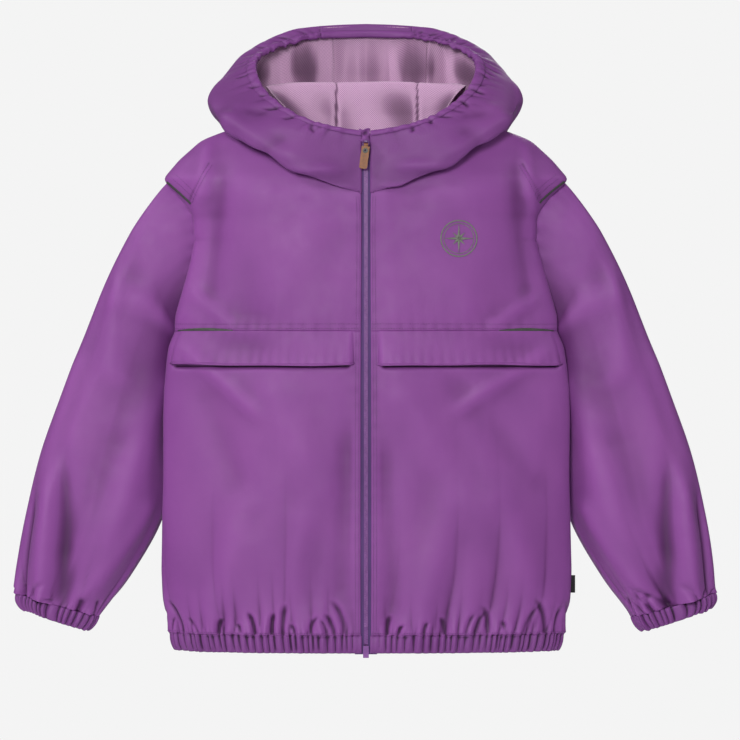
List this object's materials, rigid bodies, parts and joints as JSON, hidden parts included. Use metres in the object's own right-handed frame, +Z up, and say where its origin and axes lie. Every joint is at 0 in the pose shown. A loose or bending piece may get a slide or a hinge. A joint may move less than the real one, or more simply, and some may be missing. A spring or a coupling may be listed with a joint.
{
  "type": "hooded shell jacket",
  "caption": "Light hooded shell jacket hung by its neck loop, with a full-length front zip, storm flaps under the yoke, elastic cuffs and hem, and a mesh lining.",
  "frame": {"origin": "the inside top of the hanging loop at the back of the neck, where a hook bears", "axes": "+Z up along the hanging jacket, -Y out of its front where the zip is, +X towards the wearer's left sleeve"},
  "size_m": [0.8414, 0.1833, 0.7643],
  "materials": {
    "shell_fabric": "matte woven nylon, muted purple",
    "mesh_lining": "soft knitted mesh, pale pink-purple",
    "trim_fabric": "matte woven tape, dark bluish purple",
    "elastic": "woven elastic, off-white",
    "zip_plastic": "moulded, satin lilac",
    "metal": "satin silver",
    "leather": "smooth tan",
    "reflective": "retro-reflective film, grey-green",
    "label": "woven satin, black"
  },
  "bodies": {
    "jacket": {"chest_panel_left": "shell_fabric", "chest_panel_right": "shell_fabric", "front_panel_left": "shell_fabric", "front_panel_right": "shell_fabric", "lining_left": "mesh_lining", "lining_right": "mesh_lining", "pocket_bag_left": "mesh_lining", "pocket_bag_right": "mesh_lining", "hood_side_left": "shell_fabric", "hood_side_right": "shell_fabric", "hood_lining_left": "mesh_lining", "hood_lining_right": "mesh_lining", "hood_binding_left": "trim_fabric", "hood_binding_right": "trim_fabric", "zip_tape_left": "trim_fabric", "zip_tape_right": "trim_fabric", "zip_teeth_left": "zip_plastic", "zip_teeth_right": "zip_plastic", "piping_yoke_left": "reflective", "piping_yoke_right": "reflective", "piping_shoulder_left": "reflective", "piping_shoulder_right": "reflective", "back_panel": "shell_fabric", "hem_casing": "shell_fabric", "hem_elastic": "elastic", "lining_back": "mesh_lining", "hood_neck_strip": "shell_fabric", "hood_neck_fold": "mesh_lining", "neck_tape": "trim_fabric", "hanger_loop": "trim_fabric", "zip_top_stops": "zip_plastic", "zip_bottom_box": "zip_plastic", "zip_garage": "shell_fabric", "chest_emblem": "reflective", "side_label": "label"},
    "arm_left": {"sleeve_left": "shell_fabric", "cuff_left": "shell_fabric", "cuff_elastic_left": "elastic"},
    "arm_right": {"sleeve_right": "shell_fabric", "cuff_right": "shell_fabric", "cuff_elastic_right": "elastic"},
    "hood": {"hood_centre_panel": "shell_fabric", "hood_lining_centre": "mesh_lining", "hood_binding_top": "trim_fabric"},
    "flap_left": {"storm_flap_left": "shell_fabric"},
    "flap_right": {"storm_flap_right": "shell_fabric"},
    "slider": {"zip_slider": "metal"},
    "pull": {"pull_link": "metal", "pull_eyelet": "metal", "pull_tab": "leather"}
  },
  "joints": [
    {"name": "raise_arm_left", "type": "hinge", "parent": "jacket", "child": "arm_left", "pos_m": [0.243, -0.027, -0.055], "axis": [0, -1, 0], "range_deg": [0, 50]},
    {"name": "raise_arm_right", "type": "hinge", "parent": "jacket", "child": "arm_right", "pos_m": [-0.243, -0.027, -0.055], "axis": [0, 1, 0], "range_deg": [0, 50]},
    {"name": "lift_hood", "type": "hinge", "parent": "jacket", "child": "hood", "pos_m": [0, 0.004, -0.008], "axis": [1, 0, 0], "range_deg": [0, 30]},
    {"name": "lift_flap_left", "type": "hinge", "parent": "jacket", "child": "flap_left", "pos_m": [0.121, -0.085, -0.239], "axis": [-0.9851, -0.172, 0], "range_deg": [0, 45]},
    {"name": "lift_flap_right", "type": "hinge", "parent": "jacket", "child": "flap_right", "pos_m": [-0.121, -0.085, -0.239], "axis": [-0.9851, 0.172, 0], "range_deg": [0, 45]},
    {"name": "run_slider", "type": "slide", "parent": "jacket", "child": "slider", "axis": [0, 0, -1], "range_m": [0, 0.57]},
    {"name": "swing_pull", "type": "hinge", "parent": "slider", "child": "pull", "pos_m": [0, -0.0946, -0.0135], "axis": [-1, 0, 0], "range_deg": [0, 150]}
  ]
}
